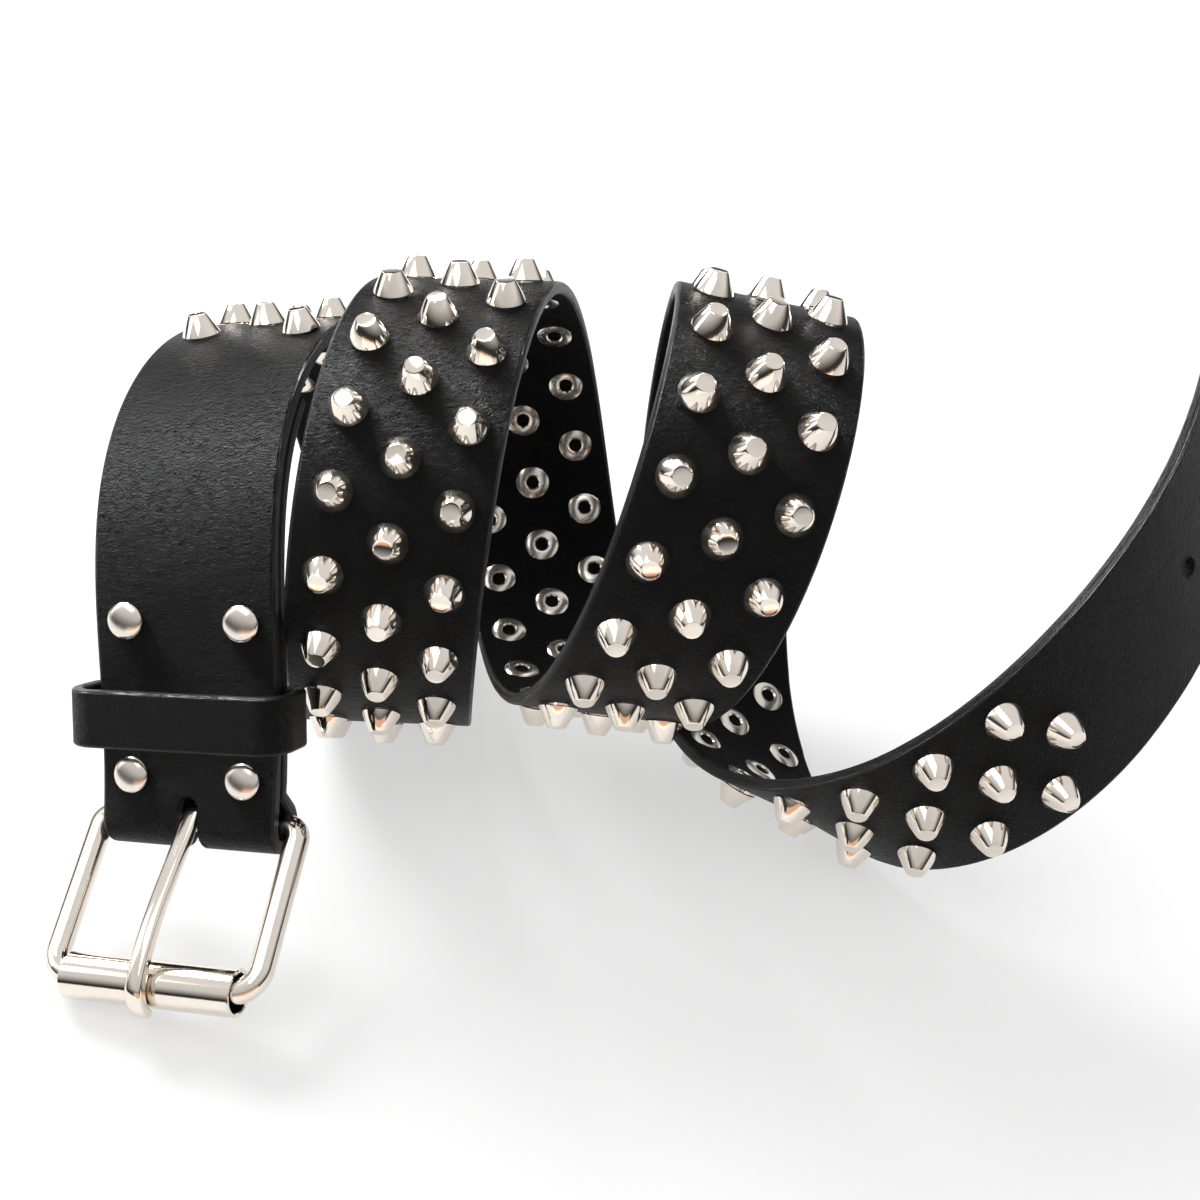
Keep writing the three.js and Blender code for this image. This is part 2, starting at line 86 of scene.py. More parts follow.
# %% Sizes of the buckle, the keeper and the rivets
WIRE = 5.2 * MM
FRAME_LENGTH = 34.5 * MM
FRAME_SIDE_CLEARANCE = 0.6 * MM
ROLLER_CORNER = 5 * MM
FRAME_ANGLE = math.radians(27)
ROLLER_RADIUS = 4.8 * MM
ROLLER_WALL = 0.9 * MM
ROLLER_END_CLEARANCE = 1.4 * MM
PRONG_WIDTH = 3.8 * MM
PRONG_THICKNESS = 3 * MM
PRONG_EYE_THICKNESS = 2 * MM
PRONG_BOW = 7.6 * MM
SLOT_CLEARANCE = 0.6 * MM
SLOT_STRAIGHT = 5 * MM
KEEPER_HEIGHT = 12 * MM
KEEPER_WALL = 2.4 * MM
KEEPER_SIDE_ROOM = 2.1 * MM
KEEPER_DEPTH_ROOM = 5.6 * MM
KEEPER_FRONT_CORNER = 4.2 * MM
KEEPER_BACK_CORNER = 2.6 * MM
KEEPER_PLACE = 24.5 * MM
RIVET_RADIUS = 3.95 * MM
RIVET_DOME = 1.7 * MM
RIVET_RIM = 0.4 * MM
RIVET_PLACES = (11.6 * MM, 44.4 * MM)
RIVET_SIDE = 12.8 * MM
BAR_PLACE = 2 * MM

BAR_RADIUS = WIRE / 2
FOLD_RADIUS = BAR_RADIUS + GAP + LEATHER / 2
INNER_LAYER = -(LEATHER + GAP)
FRAME_WIDTH = STRAP_WIDTH + 2 * FRAME_SIDE_CLEARANCE + WIRE
HEEL_CORNER = FRAME_SIDE_CLEARANCE + BAR_RADIUS - GAP
ROLLER_LENGTH = FRAME_WIDTH - WIRE - 2 * ROLLER_END_CLEARANCE
ROLLER_DROP = ROLLER_RADIUS - ROLLER_WALL - BAR_RADIUS - GAP
EYE_RADIUS = BAR_RADIUS + GAP + PRONG_EYE_THICKNESS / 2

# %% [markdown]
# ## The strap's middle line
#
# A strap bends easily one way only, across its thin side. So its shape is told
# by two numbers along its length: how far it curls, and how far it runs
# sideways while it curls. A row for each stretch holds both, and a small frame
# (along, out, across) is carried from the buckle to the tip and turned a little
# at each step. This keeps the leather's length true, which a freehand curve
# would not.

# %% The table of stretches: share of the length, bend in degrees, drift in strap widths
STRETCHES = (
    ("buckle end", 0.0438, -17, 0.12),
    ("shoulder of the first turn", 0.0438, 58, -0.11),
    ("first turn, top", 0.0438, 55, 0),
    ("first turn, back", 0.0438, 65, -0.21),
    ("first turn, lower back", 0.0438, 62, -0.26),
    ("first turn, bottom", 0.0438, 54, -0.19),
    ("second turn, lower front", 0.0438, 52, -0.13),
    ("second turn, front", 0.0438, 57, -0.17),
    ("second turn, upper front", 0.0438, 65, -0.17),
    ("second turn, top", 0.0438, 68, -0.26),
    ("second turn, back", 0.0438, 54, -0.36),
    ("second turn, bottom", 0.0438, 56, -0.32),
    ("third turn, lower front", 0.0438, 55, -0.17),
    ("third turn, front", 0.0438, 60, -0.17),
    ("third turn, top", 0.0438, 74, -0.21),
    ("third turn, upper back", 0.0438, 57, -0.15),
    ("third turn, back", 0.0438, 40, -0.36),
    ("foot of the free end", 0.0438, 61, -0.72),
    ("rise of the free end", 0.0438, 63, -0.3),
    ("free end past the studs", 0.0438, 26, 0.15),
    ("free end at the holes", 0.0413, 17, 0.11),
    ("free end, straightening", 0.0413, 8, 0.02),
    ("free end, tip", 0.0414, 0, 0),
)
FIRST_COILED, LAST_COILED = 2, 18

# %% Walk along the strap
coiled = STRETCHES[FIRST_COILED:LAST_COILED + 1]
coil_length = sum(row[1] for row in coiled) * STRAP_LENGTH
COIL_RADIUS = coil_length / math.radians(sum(row[2] for row in coiled))
lengths = np.array([row[1] for row in STRETCHES]) * STRAP_LENGTH
middles = np.cumsum(lengths) - lengths / 2
bend_rates = np.radians([row[2] for row in STRETCHES]) / lengths
twist_rates = np.array([row[3] for row in STRETCHES]) * STRAP_WIDTH / COIL_RADIUS / lengths


def start_turn():
    """The strap's directions where it leaves the buckle, as a rotation."""
    flat = math.cos(START_SLOPE)
    along = Vector((
        flat * math.cos(START_HEADING),
        flat * math.sin(START_HEADING),
        math.sin(START_SLOPE),
    ))
    across = Vector((math.sin(START_HEADING), -math.cos(START_HEADING), 0))
    out = across.cross(along)
    out.rotate(Matrix.Rotation(START_LEAN, 3, along))
    return Matrix((along, out, along.cross(out))).transposed().to_quaternion()


def walk_strap(steps):
    """Points and directions at even places along the strap's middle line."""
    step = STRAP_LENGTH / steps
    turn = start_turn()
    point = STRAP_START.copy()
    points, turns = [point.copy()], [turn.to_matrix()]
    for k in range(steps):
        place = (k + 0.5) * step
        bend = np.interp(place, middles, bend_rates)
        twist = np.interp(place, middles, twist_rates)
        axis = Vector((twist, 0, -bend))
        half = Matrix.Rotation(axis.length * step / 2, 3, axis.normalized()).to_quaternion()
        turn = turn @ half
        point = point + turn @ Vector((step, 0, 0))
        turn = turn @ half
        points.append(point.copy())
        turns.append(turn.to_matrix())
    return np.array(points), np.array(turns)


WALK_STEPS = 1150
walk_points, walk_turns = walk_strap(WALK_STEPS)
walk_places = np.linspace(0, STRAP_LENGTH, WALK_STEPS + 1)
print("coil radius", round(COIL_RADIUS / MM, 1), "mm; tip at", (walk_points[-1] / MM).round(1))


# %% Any place on the strap
def frame_at(place):
    """Middle point and directions (along, out, across) at a place; straight before the start."""
    point = Vector([np.interp(place, walk_places, walk_points[:, k]) for k in range(3)])
    turn = walk_turns[int(round(min(max(place, 0), STRAP_LENGTH) / STRAP_LENGTH * WALK_STEPS))]
    along, out, across = (Vector(turn[:, k]) for k in range(3))
    if place < 0:
        point = point + along * place
    return point, along, out, across


def strap_point(place, height, side):
    """A point given along, out of and across the strap."""
    point, _, out, across = frame_at(place)
    return point + out * height + across * side


# %% [markdown]
# ## Helpers for meshes
#
# A skin through rings of equal size makes the strap, the wire frame, the prong
# and the keeper. A turned profile makes studs, eyelets, rivets and the roller.
# Edges that turn by more than a set angle are marked sharp, so metal keeps its
# crisp rims while round sides stay smooth.

# %% Make a mesh object from points and faces
SHARP_ANGLE = math.radians(38)


def mesh_piece(name, points, faces, sharp=SHARP_ANGLE):
    """A piece at the origin, with its faces turned outwards and its creases marked."""
    mesh = bpy.data.meshes.new(name)
    mesh.from_pydata([tuple(point) for point in points], [], faces)
    body = bmesh.new()
    body.from_mesh(mesh)
    bmesh.ops.recalc_face_normals(body, faces=body.faces)
    for face in body.faces:
        face.smooth = True
    for edge in body.edges:
        edge.smooth = not edge.is_manifold or edge.calc_face_angle() < sharp
    body.to_mesh(mesh)
    body.free()
    piece = bpy.data.objects.new(name, mesh)
    bpy.context.scene.collection.objects.link(piece)
    return piece


def ring_faces(count, size, closed):
    """Quads between rings, and caps on the ends of an open run."""
    faces = []
    for ring in range(count if closed else count - 1):
        here, there = ring * size, ((ring + 1) % count) * size
        for side in range(size):
            after = (side + 1) % size
            faces.append((here + side, here + after, there + after, there + side))
    if not closed:
        faces.append(tuple(reversed(range(size))))
        faces.append(tuple((count - 1) * size + side for side in range(size)))
    return faces


def skin(name, rings, closed=False):
    """A closed skin through rings of equal size."""
    points = [point for ring in rings for point in ring]
    return mesh_piece(name, points, ring_faces(len(rings), len(rings[0]), closed))


def turned(name, profile, sides, matrix=None):
    """A closed profile of (radius, height) turned about Z; a radius of 0 makes a pole."""
    points, rows = [], []
    for radius, height in profile:
        if radius == 0:
            rows.append([len(points)] * sides)
            points.append(Vector((0, 0, height)))
            continue
        rows.append([len(points) + k for k in range(sides)])
        for k in range(sides):
            angle = math.tau * k / sides
            points.append(Vector((radius * math.cos(angle), radius * math.sin(angle), height)))
    faces = []
    closed = profile[0][0] != 0
    for row in range(len(rows) if closed else len(rows) - 1):
        here, there = rows[row], rows[(row + 1) % len(rows)]
        for k in range(sides):
            after = (k + 1) % sides
            corners = []
            for corner in (here[k], here[after], there[after], there[k]):
                if corner not in corners:
                    corners.append(corner)
            faces.append(tuple(corners))
    if matrix is not None:
        points = [matrix @ point for point in points]
    return mesh_piece(name, points, faces)


# %% [markdown]
# ## Nodes for finishes
#
# Each finish is a small node graph. A helper adds a node, sets its numbers and
# links its inputs, so each material below reads as a short list.

# %% Helpers for materials
def add_node(tree, kind, settings=None, **inputs):
    """A node with plain settings and inputs given as numbers or other nodes' sockets."""
    node = tree.nodes.new(kind)
    for key, value in (settings or {}).items():
        setattr(node, key, value)
    for key, value in inputs.items():
        socket = node.inputs[int(key[1:])] if key[0] == "i" and key[1:].isdigit() else node.inputs[key]
        if isinstance(value, bpy.types.NodeSocket):
            tree.links.new(value, socket)
        else:
            socket.default_value = value
    return node


def new_material(name):
    """An empty node material with its shader and output."""
    material = bpy.data.materials.new(name)
    material.use_nodes = True
    tree = material.node_tree
    tree.nodes.clear()
    shader = tree.nodes.new("ShaderNodeBsdfPrincipled")
    output = tree.nodes.new("ShaderNodeOutputMaterial")
    tree.links.new(shader.outputs["BSDF"], output.inputs["Surface"])
    return material, tree, shader


def blend_range(tree, source, low, high):
    """Maps 0..1 to low..high."""
    return add_node(tree, "ShaderNodeMapRange", Value=source, i3=low, i4=high).outputs["Result"]


# %% [markdown]
# ## Black leather
#
# Belt leather is finished with a black coat that keeps the hide's fine
# wrinkles. On the face the light catches them as a soft sheen. The cut edges
# are burnished: smoother, with fine lines along the strap. The inner side is
# raw and matt. One graph does all three, told apart by two numbers stored on
# the mesh: edge (1 on the cut edges) and inside (1 on the inner side).

# %% The leather finish
def leather_material(name, base, sheen_shift):
    material, tree, shader = new_material(name)
    place = add_node(tree, "ShaderNodeTexCoord").outputs["Object"]
    flow = add_node(tree, "ShaderNodeUVMap", {"uv_map": "along_across"}).outputs["UV"]
    edge = add_node(tree, "ShaderNodeAttribute", {"attribute_name": "edge"}).outputs["Fac"]
    inside = add_node(tree, "ShaderNodeAttribute", {"attribute_name": "inside"}).outputs["Fac"]

    turned_flow = add_node(
        tree, "ShaderNodeMapping", Vector=flow, Rotation=(0.0, 0.0, 0.6), Scale=(950.0, 430.0, 1.0),
    ).outputs["Vector"]
    folds = add_node(
        tree, "ShaderNodeTexNoise",
        Vector=turned_flow, Scale=1.0, Detail=4.0, Roughness=0.6, Distortion=1.1,
    ).outputs["Fac"]
    ridges = add_node(tree, "ShaderNodeMath", {"operation": "PINGPONG"}, i0=folds, i1=0.14).outputs["Value"]
    pores = add_node(tree, "ShaderNodeTexNoise", Vector=place, Scale=2300.0, Detail=2.0).outputs["Fac"]
    creases = add_node(
        tree, "ShaderNodeTexNoise", Vector=place, Scale=70.0, Detail=5.0, Roughness=0.65,
    ).outputs["Fac"]
    stretched = add_node(
        tree, "ShaderNodeMapping", Vector=flow, Scale=(60.0, 2600.0, 1.0),
    ).outputs["Vector"]
    lines = add_node(tree, "ShaderNodeTexNoise", Vector=stretched, Scale=1.0, Detail=3.0).outputs["Fac"]

    grain = add_node(
        tree, "ShaderNodeMath", {"operation": "MULTIPLY_ADD"}, i0=ridges, i1=5.5, i2=pores,
    ).outputs["Value"]
    height = add_node(
        tree, "ShaderNodeMix", {"data_type": "FLOAT"}, i0=edge, i2=grain, i3=lines,
    ).outputs[0]
    bump = add_node(tree, "ShaderNodeBump", Strength=1.0, Distance=0.0018, Height=height)

    face_rough = blend_range(tree, creases, 0.3, 0.46)
    inner_rough = add_node(
        tree, "ShaderNodeMix", {"data_type": "FLOAT"}, i0=inside, i2=face_rough, i3=0.7,
    ).outputs[0]
    rough = add_node(
        tree, "ShaderNodeMix", {"data_type": "FLOAT"}, i0=edge, i2=inner_rough, i3=0.36,
    ).outputs[0]
    gloss = blend_range(tree, edge, 0.16, 0.4)
    light = tuple(channel * 1.9 + sheen_shift for channel in base) + (1.0,)
    tone = add_node(
        tree, "ShaderNodeMix", {"data_type": "RGBA"}, i0=creases, i6=tuple(base) + (1.0,), i7=light,
    ).outputs[2]
    tree.links.new(tone, shader.inputs["Base Color"])
    tree.links.new(rough, shader.inputs["Roughness"])
    tree.links.new(gloss, shader.inputs["Specular IOR Level"])
    tree.links.new(bump.outputs["Normal"], shader.inputs["Normal"])
    return material


strap_leather = leather_material("strap_leather", (0.002, 0.002, 0.0024), 0.0006)
keeper_leather = leather_material("keeper_leather", (0.0022, 0.002, 0.002), 0.0006)

# %% [markdown]
# ## Nickel plate
#
# The studs, the buckle and the roller are steel and brass with a bright nickel
# plate: a slightly warm silver that mirrors the white room and the black
# leather. Faint polishing marks keep it from looking like glass. The rivets and
# eyelets are the same plate, tumbled to a satin.

# %% The metal finish
def nickel_material(name, base, smooth, marks):
    material, tree, shader = new_material(name)
    place = add_node(tree, "ShaderNodeTexCoord").outputs["Object"]
    haze = add_node(tree, "ShaderNodeTexNoise", Vector=place, Scale=340.0, Detail=4.0).outputs["Fac"]
    scratches = add_node(
        tree, "ShaderNodeTexNoise", Vector=place, Scale=2600.0, Detail=2.0, Roughness=0.6,
    ).outputs["Fac"]
    rough = blend_range(tree, haze, smooth, smooth + marks)
    bump = add_node(tree, "ShaderNodeBump", Strength=0.12, Distance=0.00003, Height=scratches)
    worn = tuple(channel * 0.9 for channel in base) + (1.0,)
    tone = add_node(
        tree, "ShaderNodeMix", {"data_type": "RGBA"}, i0=haze, i6=tuple(base) + (1.0,), i7=worn,
    ).outputs[2]
    tree.links.new(tone, shader.inputs["Base Color"])
    tree.links.new(rough, shader.inputs["Roughness"])
    tree.links.new(bump.outputs["Normal"], shader.inputs["Normal"])
    shader.inputs["Metallic"].default_value = 1.0
    return material


bright_nickel = nickel_material("bright_nickel", (0.84, 0.77, 0.69), 0.06, 0.07)
satin_nickel = nickel_material("satin_nickel", (0.80, 0.74, 0.67), 0.17, 0.1)

# %% [markdown]
# ## The leather strap
#
# One long strip: it starts as the turned-back layer, spreads round the heel bar
# and runs out as the face. Its section is a flat bar with rounded edges, swept
# along the middle line. The slot for the prong and the five holes are then cut
# through it, as a punch does.

# %% The strap's route, seen from the side, as places and heights
STEP = 2.1 * MM
FOLD_STEPS = 24
LAYER_MEET = 8.4 * MM


def leather_path():
    meet = Vector((LAYER_MEET - BAR_PLACE, INNER_LAYER + FOLD_RADIUS))
    path = [(place, INNER_LAYER) for place in np.arange(TURN_BACK_LENGTH, LAYER_MEET + STEP / 2, -STEP)]
    path.append((LAYER_MEET, INNER_LAYER))
    fold_start = math.atan2(meet.y, meet.x) - math.acos(FOLD_RADIUS / meet.length)
    for k in range(FOLD_STEPS + 1):
        angle = fold_start + (-1.5 * math.pi - fold_start) * k / FOLD_STEPS
        path.append((
            BAR_PLACE + FOLD_RADIUS * math.cos(angle),
            FOLD_RADIUS * (math.sin(angle) - 1),
        ))
    path += [(place, 0.0) for place in np.arange(BAR_PLACE + STEP, STRAP_LENGTH - TIP_LENGTH, STEP)]
    tip_steps = 18
    for k in range(tip_steps + 1):
        share = math.sin(0.5 * math.pi * k / tip_steps)
        path.append((STRAP_LENGTH - TIP_LENGTH * (1 - share), 0.0))
    return path


def half_width(place):
    """Half the leather's width: full, and rounded in to a blunt nose at the tip."""
    share = max(0.0, (place - (STRAP_LENGTH - TIP_LENGTH)) / TIP_LENGTH)
    return TIP_NOSE + (STRAP_WIDTH / 2 - TIP_NOSE) * math.sqrt(max(0.0, 1 - share * share))


# %% The strap's section: a flat bar with rounded edges
EDGE_STEPS = 4
FACE_STEPS = 6


def section(half, thickness, rounding):
    """Points (height, side) round the section, with 1 for each point on a cut edge."""
    points = []
    flat = half - rounding
    for face in (1, -1):
        for k in range(FACE_STEPS + 1):
            points.append((face * thickness / 2, face * flat * (2 * k / FACE_STEPS - 1), 0.0))
        for k in range(1, 2 * EDGE_STEPS):
            angle = math.pi / 2 - math.pi * k / (2 * EDGE_STEPS)
            lift = rounding * math.sin(angle)
            if k != EDGE_STEPS:
                lift += math.copysign(thickness / 2 - rounding, angle)
            points.append((face * lift, face * (flat + rounding * math.cos(angle)), 1.0))
    return points


def swept_leather(name, path, material):
    """Leather swept along a route of (place, height), with its marks stored on the mesh."""
    rings, edges, insides, flows = [], [], [], []
    run = 0.0
    for k, (place, height) in enumerate(path):
        before, after = path[max(k - 1, 0)], path[min(k + 1, len(path) - 1)]
        direction = Vector((after[0] - before[0], after[1] - before[1])).normalized()
        rise = Vector((-direction.y, direction.x))
        run += math.hypot(place - before[0], height - before[1])
        half = half_width(place if height == 0 else 0)
        ring = []
        for lift, side, edge in section(half, LEATHER, EDGE_ROUND):
            ring.append(strap_point(place + rise.x * lift, height + rise.y * lift, side))
            edges.append(edge)
            insides.append(1.0 if lift < 0 else 0.0)
            flows.append((run, side + lift))
        rings.append(ring)
    piece = skin(name, rings)
    store_marks(piece, edges, insides, flows)
    piece.data.materials.append(material)
    return piece


def store_marks(piece, edges, insides, flows):
    """Keeps the edge and inside numbers and the along-and-across map on the mesh."""
    for key, values in (("edge", edges), ("inside", insides)):
        marks = piece.data.attributes.new(key, "FLOAT", "POINT")
        marks.data.foreach_set("value", values)
    layer = piece.data.uv_layers.new(name="along_across")
    for loop in piece.data.loops:
        layer.data[loop.index].uv = flows[loop.vertex_index]


strap = swept_leather("strap_leather", leather_path(), strap_leather)
print("strap:", len(strap.data.polygons), "faces")


# %% Punch the slot and the holes
def punch(piece, cutters):
    """Cuts the cutters out of a piece and throws them away."""
    for cutter in cutters:
        cut = piece.modifiers.new("punch", "BOOLEAN")
        cut.operation = "DIFFERENCE"
        cut.solver = "EXACT"
        cut.object = cutter
    bpy.context.view_layer.update()
    result = bpy.data.meshes.new_from_object(piece.evaluated_get(bpy.context.evaluated_depsgraph_get()))
    piece.modifiers.clear()
    piece.data = result
    for cutter in cutters:
        bpy.data.objects.remove(cutter)


def strap_matrix(place, height, side):
    """Moves a shape whose Z runs out of the strap and X across it to its place."""
    _, along, out, across = frame_at(place)
    turn = Matrix((across, along * -1, out)).transposed().to_4x4()
    return Matrix.Translation(strap_point(place, height, side)) @ turn


HOLE_SIDES = 24
hole_profile = ((0, -LEATHER), (HOLE_RADIUS, -LEATHER), (HOLE_RADIUS, LEATHER), (0, LEATHER))
cutters = []
for k in range(HOLE_COUNT):
    at_hole = strap_matrix(FIRST_HOLE + k * HOLE_PITCH, 0, 0)
    cutters.append(turned("hole_cutter", hole_profile, HOLE_SIDES, at_hole))

SLOT_STEPS = 12
slot_half = PRONG_WIDTH / 2 + SLOT_CLEARANCE
slot_bottom = BAR_PLACE - FOLD_RADIUS - LEATHER
slot_outline = [(-slot_half, slot_bottom), (slot_half, slot_bottom)]
for k in range(SLOT_STEPS + 1):
    angle = math.pi * k / SLOT_STEPS
    slot_outline.append((slot_half * math.cos(angle), SLOT_STRAIGHT + slot_half * math.sin(angle)))
_, start_along, start_out, start_across = frame_at(0)
slot_rings = [
    [strap_point(0, height, 0) + start_across * x + start_along * y for x, y in slot_outline]
    for height in (LEATHER, -2 * FOLD_RADIUS - LEATHER)
]
cutters.append(skin("slot_cutter", slot_rings))
punch(strap, cutters)
print("punched strap:", len(strap.data.polygons), "faces")
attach(strap, "strap")
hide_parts("studded_strap")

# %% [markdown]
# ## Studs and eyelets
#
# Each stud is a small turned cone with a flat top and a fine bright rim. Its
# shank goes through the leather into an eyelet on the inner side. There are 51
# in each of three staggered rows, so they are made once and repeated: a node
# tree stands a copy on every marked point, turned by the directions that are
# stored with the point.

# %% Where the studs stand
stud_rows = ((-STUD_ROW, 0.0), (0.0, STUD_PITCH / 2), (STUD_ROW, 0.0))
studs_per_row = int((LAST_STUD - FIRST_STUD) / STUD_PITCH) + 1
stud_places = [
    (FIRST_STUD + offset + k * STUD_PITCH, side)
    for side, offset in stud_rows for k in range(studs_per_row)
]
print("studs:", len(stud_places))


def marked_points(name, places, height, flip):
    """Loose points on the strap that carry their own out and along directions."""
    mesh = bpy.data.meshes.new(name)
    points, outs, alongs = [], [], []
    for place, side in places:
        _, along, out, _ = frame_at(place)
        points.append(strap_point(place, height, side))
        outs += list(out * flip)
        alongs += list(along)
    mesh.from_pydata([tuple(point) for point in points], [], [])
    for key, values in (("out", outs), ("along", alongs)):
        mesh.attributes.new(key, "FLOAT_VECTOR", "POINT").data.foreach_set("vector", values)
    holder = bpy.data.objects.new(name, mesh)
    bpy.context.scene.collection.objects.link(holder)
    return holder


# %% The node tree that repeats a small part
def repeat_tree():
    tree = bpy.data.node_groups.new("repeat_on_strap", "GeometryNodeTree")
    face = tree.interface
    face.new_socket("Geometry", in_out="INPUT", socket_type="NodeSocketGeometry")
    face.new_socket("Part", in_out="INPUT", socket_type="NodeSocketObject")
    face.new_socket("Size", in_out="INPUT", socket_type="NodeSocketFloat")
    face.new_socket("Random Turn", in_out="INPUT", socket_type="NodeSocketFloat")
    face.new_socket("Seed", in_out="INPUT", socket_type="NodeSocketInt")
    face.new_socket("Finish", in_out="INPUT", socket_type="NodeSocketMaterial")
    face.new_socket("Geometry", in_out="OUTPUT", socket_type="NodeSocketGeometry")
    given = tree.nodes.new("NodeGroupInput")
    result = tree.nodes.new("NodeGroupOutput")
    out = add_node(tree, "GeometryNodeInputNamedAttribute", {"data_type": "FLOAT_VECTOR"}, Name="out")
    along = add_node(tree, "GeometryNodeInputNamedAttribute", {"data_type": "FLOAT_VECTOR"}, Name="along")
    upright = add_node(
        tree, "FunctionNodeAlignRotationToVector", {"axis": "Z"}, Vector=out.outputs["Attribute"],
    )
    lined_up = add_node(
        tree, "FunctionNodeAlignRotationToVector", {"axis": "X", "pivot_axis": "Z"},
        Rotation=upright.outputs["Rotation"], Vector=along.outputs["Attribute"],
    )
    swing = add_node(
        tree, "FunctionNodeRandomValue", {"data_type": "FLOAT"},
        i3=given.outputs["Random Turn"], Seed=given.outputs["Seed"],
    )
    spin = add_node(tree, "ShaderNodeCombineXYZ", Z=swing.outputs[1])
    as_turn = add_node(tree, "FunctionNodeEulerToRotation", Euler=spin.outputs["Vector"])
    turned_part = add_node(
        tree, "FunctionNodeRotateRotation", {"rotation_space": "LOCAL"},
        Rotation=lined_up.outputs["Rotation"],
    )
    tree.links.new(as_turn.outputs["Rotation"], turned_part.inputs["Rotate By"])
    info = add_node(tree, "GeometryNodeObjectInfo", Object=given.outputs["Part"])
    copies = add_node(
        tree, "GeometryNodeInstanceOnPoints",
        Points=given.outputs["Geometry"], Instance=info.outputs["Geometry"],
        Rotation=turned_part.outputs["Rotation"], Scale=given.outputs["Size"],
    )
    real = add_node(tree, "GeometryNodeRealizeInstances", Geometry=copies.outputs["Instances"])
    coated = add_node(
        tree, "GeometryNodeSetMaterial", Geometry=real.outputs["Geometry"],
        Material=given.outputs["Finish"],
    )
    tree.links.new(coated.outputs["Geometry"], result.inputs["Geometry"])
    return tree


REPEAT = repeat_tree()


def repeat_part(name, holder, part, finish, random_turn, seed):
    """Stands a copy of part on every point of holder, as one plain mesh."""
    modifier = holder.modifiers.new("repeat", "NODES")
    modifier.node_group = REPEAT
    sockets = {
        item.name: item.identifier for item in REPEAT.interface.items_tree if item.in_out == "INPUT"
    }
    modifier[sockets["Part"]] = part
    modifier[sockets["Size"]] = 1.0
    modifier[sockets["Random Turn"]] = random_turn
    modifier[sockets["Seed"]] = seed
    modifier[sockets["Finish"]] = finish
    bpy.context.view_layer.update()
    mesh = bpy.data.meshes.new_from_object(
        holder.evaluated_get(bpy.context.evaluated_depsgraph_get())
    )
    piece = bpy.data.objects.new(name, mesh)
    bpy.context.scene.collection.objects.link(piece)
    holder.modifiers.clear()
    for spent in (holder, part):
        bpy.data.objects.remove(spent)
    print(name, len(mesh.polygons), "faces")
    return piece


# %% Studs on the face
STUD_SIDES = 24
STUD_SINK = 0.6 * MM
STUD_SEAT = 0.3 * MM
STUD_BEVEL = 0.42 * MM
STUD_DISH = 0.1 * MM
FOOT_GROOVE = 0.08 * MM
FOOT_WIDEST = 0.28 * MM
FOOT_TOP = 0.55 * MM
FOOT_ROUND = 0.12 * MM
stud_profile = (
    (0, -STUD_SINK),
    (STUD_BASE - STUD_SEAT, -STUD_SINK),
    (STUD_BASE - STUD_SEAT, FOOT_GROOVE),
    (STUD_BASE, FOOT_WIDEST),
    (STUD_BASE - FOOT_ROUND, FOOT_TOP),
    (STUD_TOP + STUD_DISH / 2, STUD_HEIGHT - STUD_BEVEL / 2),
    (STUD_TOP - STUD_BEVEL / 2, STUD_HEIGHT),
    (STUD_TOP - STUD_BEVEL, STUD_HEIGHT - STUD_DISH / 2),
    (STUD_TOP - 1.6 * STUD_BEVEL, STUD_HEIGHT - STUD_DISH),
    (0, STUD_HEIGHT - STUD_DISH),
)
stud = turned("stud", stud_profile, STUD_SIDES)
holder = marked_points("stud_points", stud_places, LEATHER / 2, 1)
studs = repeat_part("studs", holder, stud, bright_nickel, math.tau, 7)
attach(studs, "strap")

# %% Eyelets on the inner side
EYELET_SINK = 0.3 * MM
EYELET_RISE = 0.6 * MM
EYELET_ROLL = 0.35 * MM
EYELET_FLAT = 0.8 * MM
EYELET_RIM = 0.1 * MM
eyelet_profile = (
    (EYELET_HOLE, -EYELET_SINK),
    (EYELET_HOLE, EYELET_RISE / 2),
    (EYELET_HOLE + EYELET_ROLL, EYELET_RISE),
    (EYELET_HOLE + EYELET_FLAT, EYELET_RISE),
    (EYELET_RADIUS - EYELET_RISE, 4 * EYELET_RIM),
    (EYELET_RADIUS, EYELET_RIM),
    (EYELET_RADIUS, -EYELET_SINK),
)
eyelet = turned("eyelet", eyelet_profile, STUD_SIDES)
holder = marked_points("eyelet_points", stud_places, -LEATHER / 2, -1)
eyelets = repeat_part("eyelets", holder, eyelet, satin_nickel, math.tau, 11)
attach(eyelets, "strap")

# %% [markdown]
# ## Rivets
#
# Four domed caps hold the two layers together, above and below the keeper.
# Their washers lie behind. Each cap and washer is turned from one profile.

# %% Caps and washers
RIVET_SIDES = 32
RIVET_UNDERCUT = 0.1 * MM
DOME_STEPS = 7
dome_profile = [(0, 0.0), (RIVET_RADIUS - RIVET_UNDERCUT, 0.0), (RIVET_RADIUS, RIVET_RIM * 0.6)]
for k in range(DOME_STEPS + 1):
    angle = 0.5 * math.pi * k / DOME_STEPS
    radius = 0 if k == DOME_STEPS else RIVET_RADIUS * math.cos(angle)
    dome_profile.append((radius, RIVET_RIM + GAP + (RIVET_DOME - RIVET_RIM) * math.sin(angle)))
cap = turned("rivet_cap", dome_profile, RIVET_SIDES)
rivet_spots = [(place, side) for place in RIVET_PLACES for side in (-RIVET_SIDE, RIVET_SIDE)]
holder = marked_points("rivet_points", rivet_spots, LEATHER / 2, 1)
caps = repeat_part("rivet_caps", holder, cap, satin_nickel, 0.0, 1)

